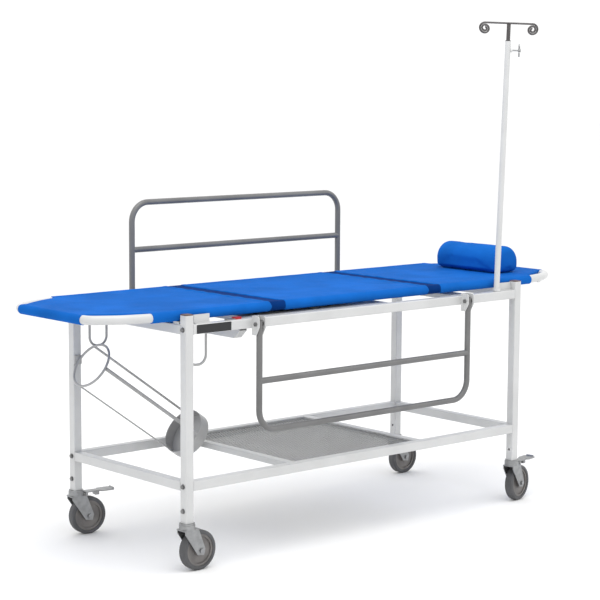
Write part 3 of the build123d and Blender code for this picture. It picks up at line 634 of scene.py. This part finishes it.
def weld_beads():
    """Beads round both ends of each rail and of each end crossbar."""
    made = Shell()
    low, high = box_mm("top_rail_left")
    half = (high[2] - low[2]) / 2
    joint_x = high[0]
    rail_y = (low[1] + high[1]) / 2
    low_z = (box_mm("lower_rails")[0][2] + box_mm("lower_rails")[1][2]) / 2
    top_z = (low[2] + high[2]) / 2
    reach = half - 0.4
    square = []
    for a, b in ((1, 1), (-1, 1), (-1, -1), (1, -1)):
        pair = [(a * reach, b * (reach - 3)), (a * (reach - 3), b * reach)]
        square.extend(pair if a * b > 0 else pair[::-1])
    for z in (low_z, top_z):
        for y in (-rail_y, rail_y):
            for x in (-joint_x, joint_x):
                loop = [(x, y + a, z + b) for a, b in square]
                made.add(*stretched_tube(loop, BEAD, 8, True))
        for y in (-1, 1):
            for x in (-1, 1):
                bar_x = x * (joint_x + half)
                bar_y = y * (abs(rail_y) - half)
                loop = [(bar_x + a, bar_y, z + b) for a, b in square]
                made.add(*stretched_tube(loop, BEAD, 8, True))
    piece = made.piece("weld_beads", paint["frame_white"])
    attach(piece, "trolley")


weld_beads()


# ---- expanded metal shelf ----
def shelf_mesh():
    """A diamond lattice of flat strands inside a flat border."""
    low, high = box_mm("mesh_shelf")
    made = Shell()
    lap = 8
    mid_x = (low[0] + high[0]) / 2
    half_x = (high[0] - low[0]) / 2 - lap
    half_y = high[1] - lap
    z = (low[2] + high[2]) / 2
    gap = 11.5
    strand_wide = 3.2
    strand_thick = 1.4
    slope = math.radians(24)
    up = Vector((0, 0, 1))
    for way in (-1, 1):
        along = Vector((way * math.sin(slope), math.cos(slope), 0))
        across = Vector((math.cos(slope), -way * math.sin(slope), 0))
        count = int((half_x + half_y) / gap)
        for step in range(-count, count + 1):
            offset = across * (step * gap)
            limits = []
            for axis, half in ((0, half_x), (1, half_y)):
                near = (-half - offset[axis]) / along[axis]
                far = (half - offset[axis]) / along[axis]
                limits.append((min(near, far), max(near, far)))
            first = max(limit[0] for limit in limits)
            last = min(limit[1] for limit in limits)
            if last - first > 6:
                middle = offset + along * ((first + last) / 2) + Vector((mid_x, 0, z + way * 0.35))
                size = (last - first, strand_wide, strand_thick)
                made.bar(middle, along, across, up, size)
    flange = 11.0
    thick = 2.6
    x_axis = Vector((1, 0, 0))
    y_axis = Vector((0, 1, 0))
    for side in (-1, 1):
        long_side = Vector((mid_x, side * (high[1] - flange / 2), z))
        made.bar(long_side, x_axis, y_axis, up, (high[0] - low[0], flange, thick))
        x = mid_x + side * ((high[0] - low[0]) / 2 - flange / 2)
        short = 2 * high[1] - 2 * flange
        made.bar(Vector((x, 0, z)), x_axis, y_axis, up, (flange, short, thick))
    piece = made.piece("shelf_mesh", paint["mesh_metal"], False)
    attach(piece, "trolley")
    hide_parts("mesh_shelf")


shelf_mesh()


# ---- floor, lights and camera ----
FLOOR_HALF = 40
FLOOR_DROP = 0.0005
CAMERA_PLACE = (-4.1648, -4.7142, 1.5329)
CAMERA_YAW = math.radians(-41.345)
CAMERA_PITCH = math.radians(-7.069)
CAMERA_ROLL = math.radians(0.353)
CAMERA_LENS = 112.1


def studio():
    """A pale floor, a white surround and three soft lights."""
    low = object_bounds()[0]
    grid = bmesh.new()
    bmesh.ops.create_grid(grid, x_segments=8, y_segments=8, size=FLOOR_HALF)
    data = bpy.data.meshes.new("floor")
    grid.to_mesh(data)
    grid.free()
    floor = bpy.data.objects.new("floor", data)
    bpy.context.scene.collection.objects.link(floor)
    floor.location.z = low[2] - FLOOR_DROP
    made, tree, surface, place = shader("floor_look", (0.92, 0.92, 0.92), 0.8)
    cloud = noise_node(tree, place, 1.2)
    vary_colour(tree, surface, cloud, (0.91, 0.91, 0.91), (0.93, 0.93, 0.93))
    data.materials.append(made)
    floor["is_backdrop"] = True
    world = bpy.data.worlds.new("studio")
    world.use_nodes = True
    world.node_tree.nodes["Background"].inputs["Color"].default_value = (1, 1, 1, 1)
    world.node_tree.nodes["Background"].inputs["Strength"].default_value = 1.12
    bpy.context.scene.world = world
    bpy.context.scene.view_settings.view_transform = "Standard"
    for name, place, size, power in (
        ("key", (-0.8, -1.0, 4.4), 3.0, 75),
        ("fill", (3.4, -2.6, 2.8), 2.4, 12),
        ("back", (0.8, 3.6, 3.6), 2.6, 12),
    ):
        light = bpy.data.lights.new(name, "AREA")
        light.size = size
        light.energy = power
        lamp = bpy.data.objects.new(name, light)
        lamp.location = place
        aim = Vector((0, 0, 0.7)) - Vector(place)
        lamp.rotation_euler = aim.to_track_quat("-Z", "Y").to_euler()
        bpy.context.scene.collection.objects.link(lamp)


def add_camera():
    right = Vector((math.cos(CAMERA_YAW), math.sin(CAMERA_YAW), 0))
    level = math.cos(CAMERA_PITCH)
    ahead = Vector((-right.y * level, right.x * level, math.sin(CAMERA_PITCH)))
    up = right.cross(ahead)
    rolled_right = math.cos(CAMERA_ROLL) * right + math.sin(CAMERA_ROLL) * up
    rolled_up = math.cos(CAMERA_ROLL) * up - math.sin(CAMERA_ROLL) * right
    turn = Matrix((rolled_right, rolled_up, -ahead)).transposed()
    data = bpy.data.cameras.new("camera")
    data.sensor_width = 36
    data.lens = CAMERA_LENS
    camera = bpy.data.objects.new("camera", data)
    camera.matrix_world = Matrix.Translation(CAMERA_PLACE) @ turn.to_4x4()
    bpy.context.scene.collection.objects.link(camera)
    bpy.context.scene.camera = camera


studio()
add_camera()
bpy.context.view_layer.update()
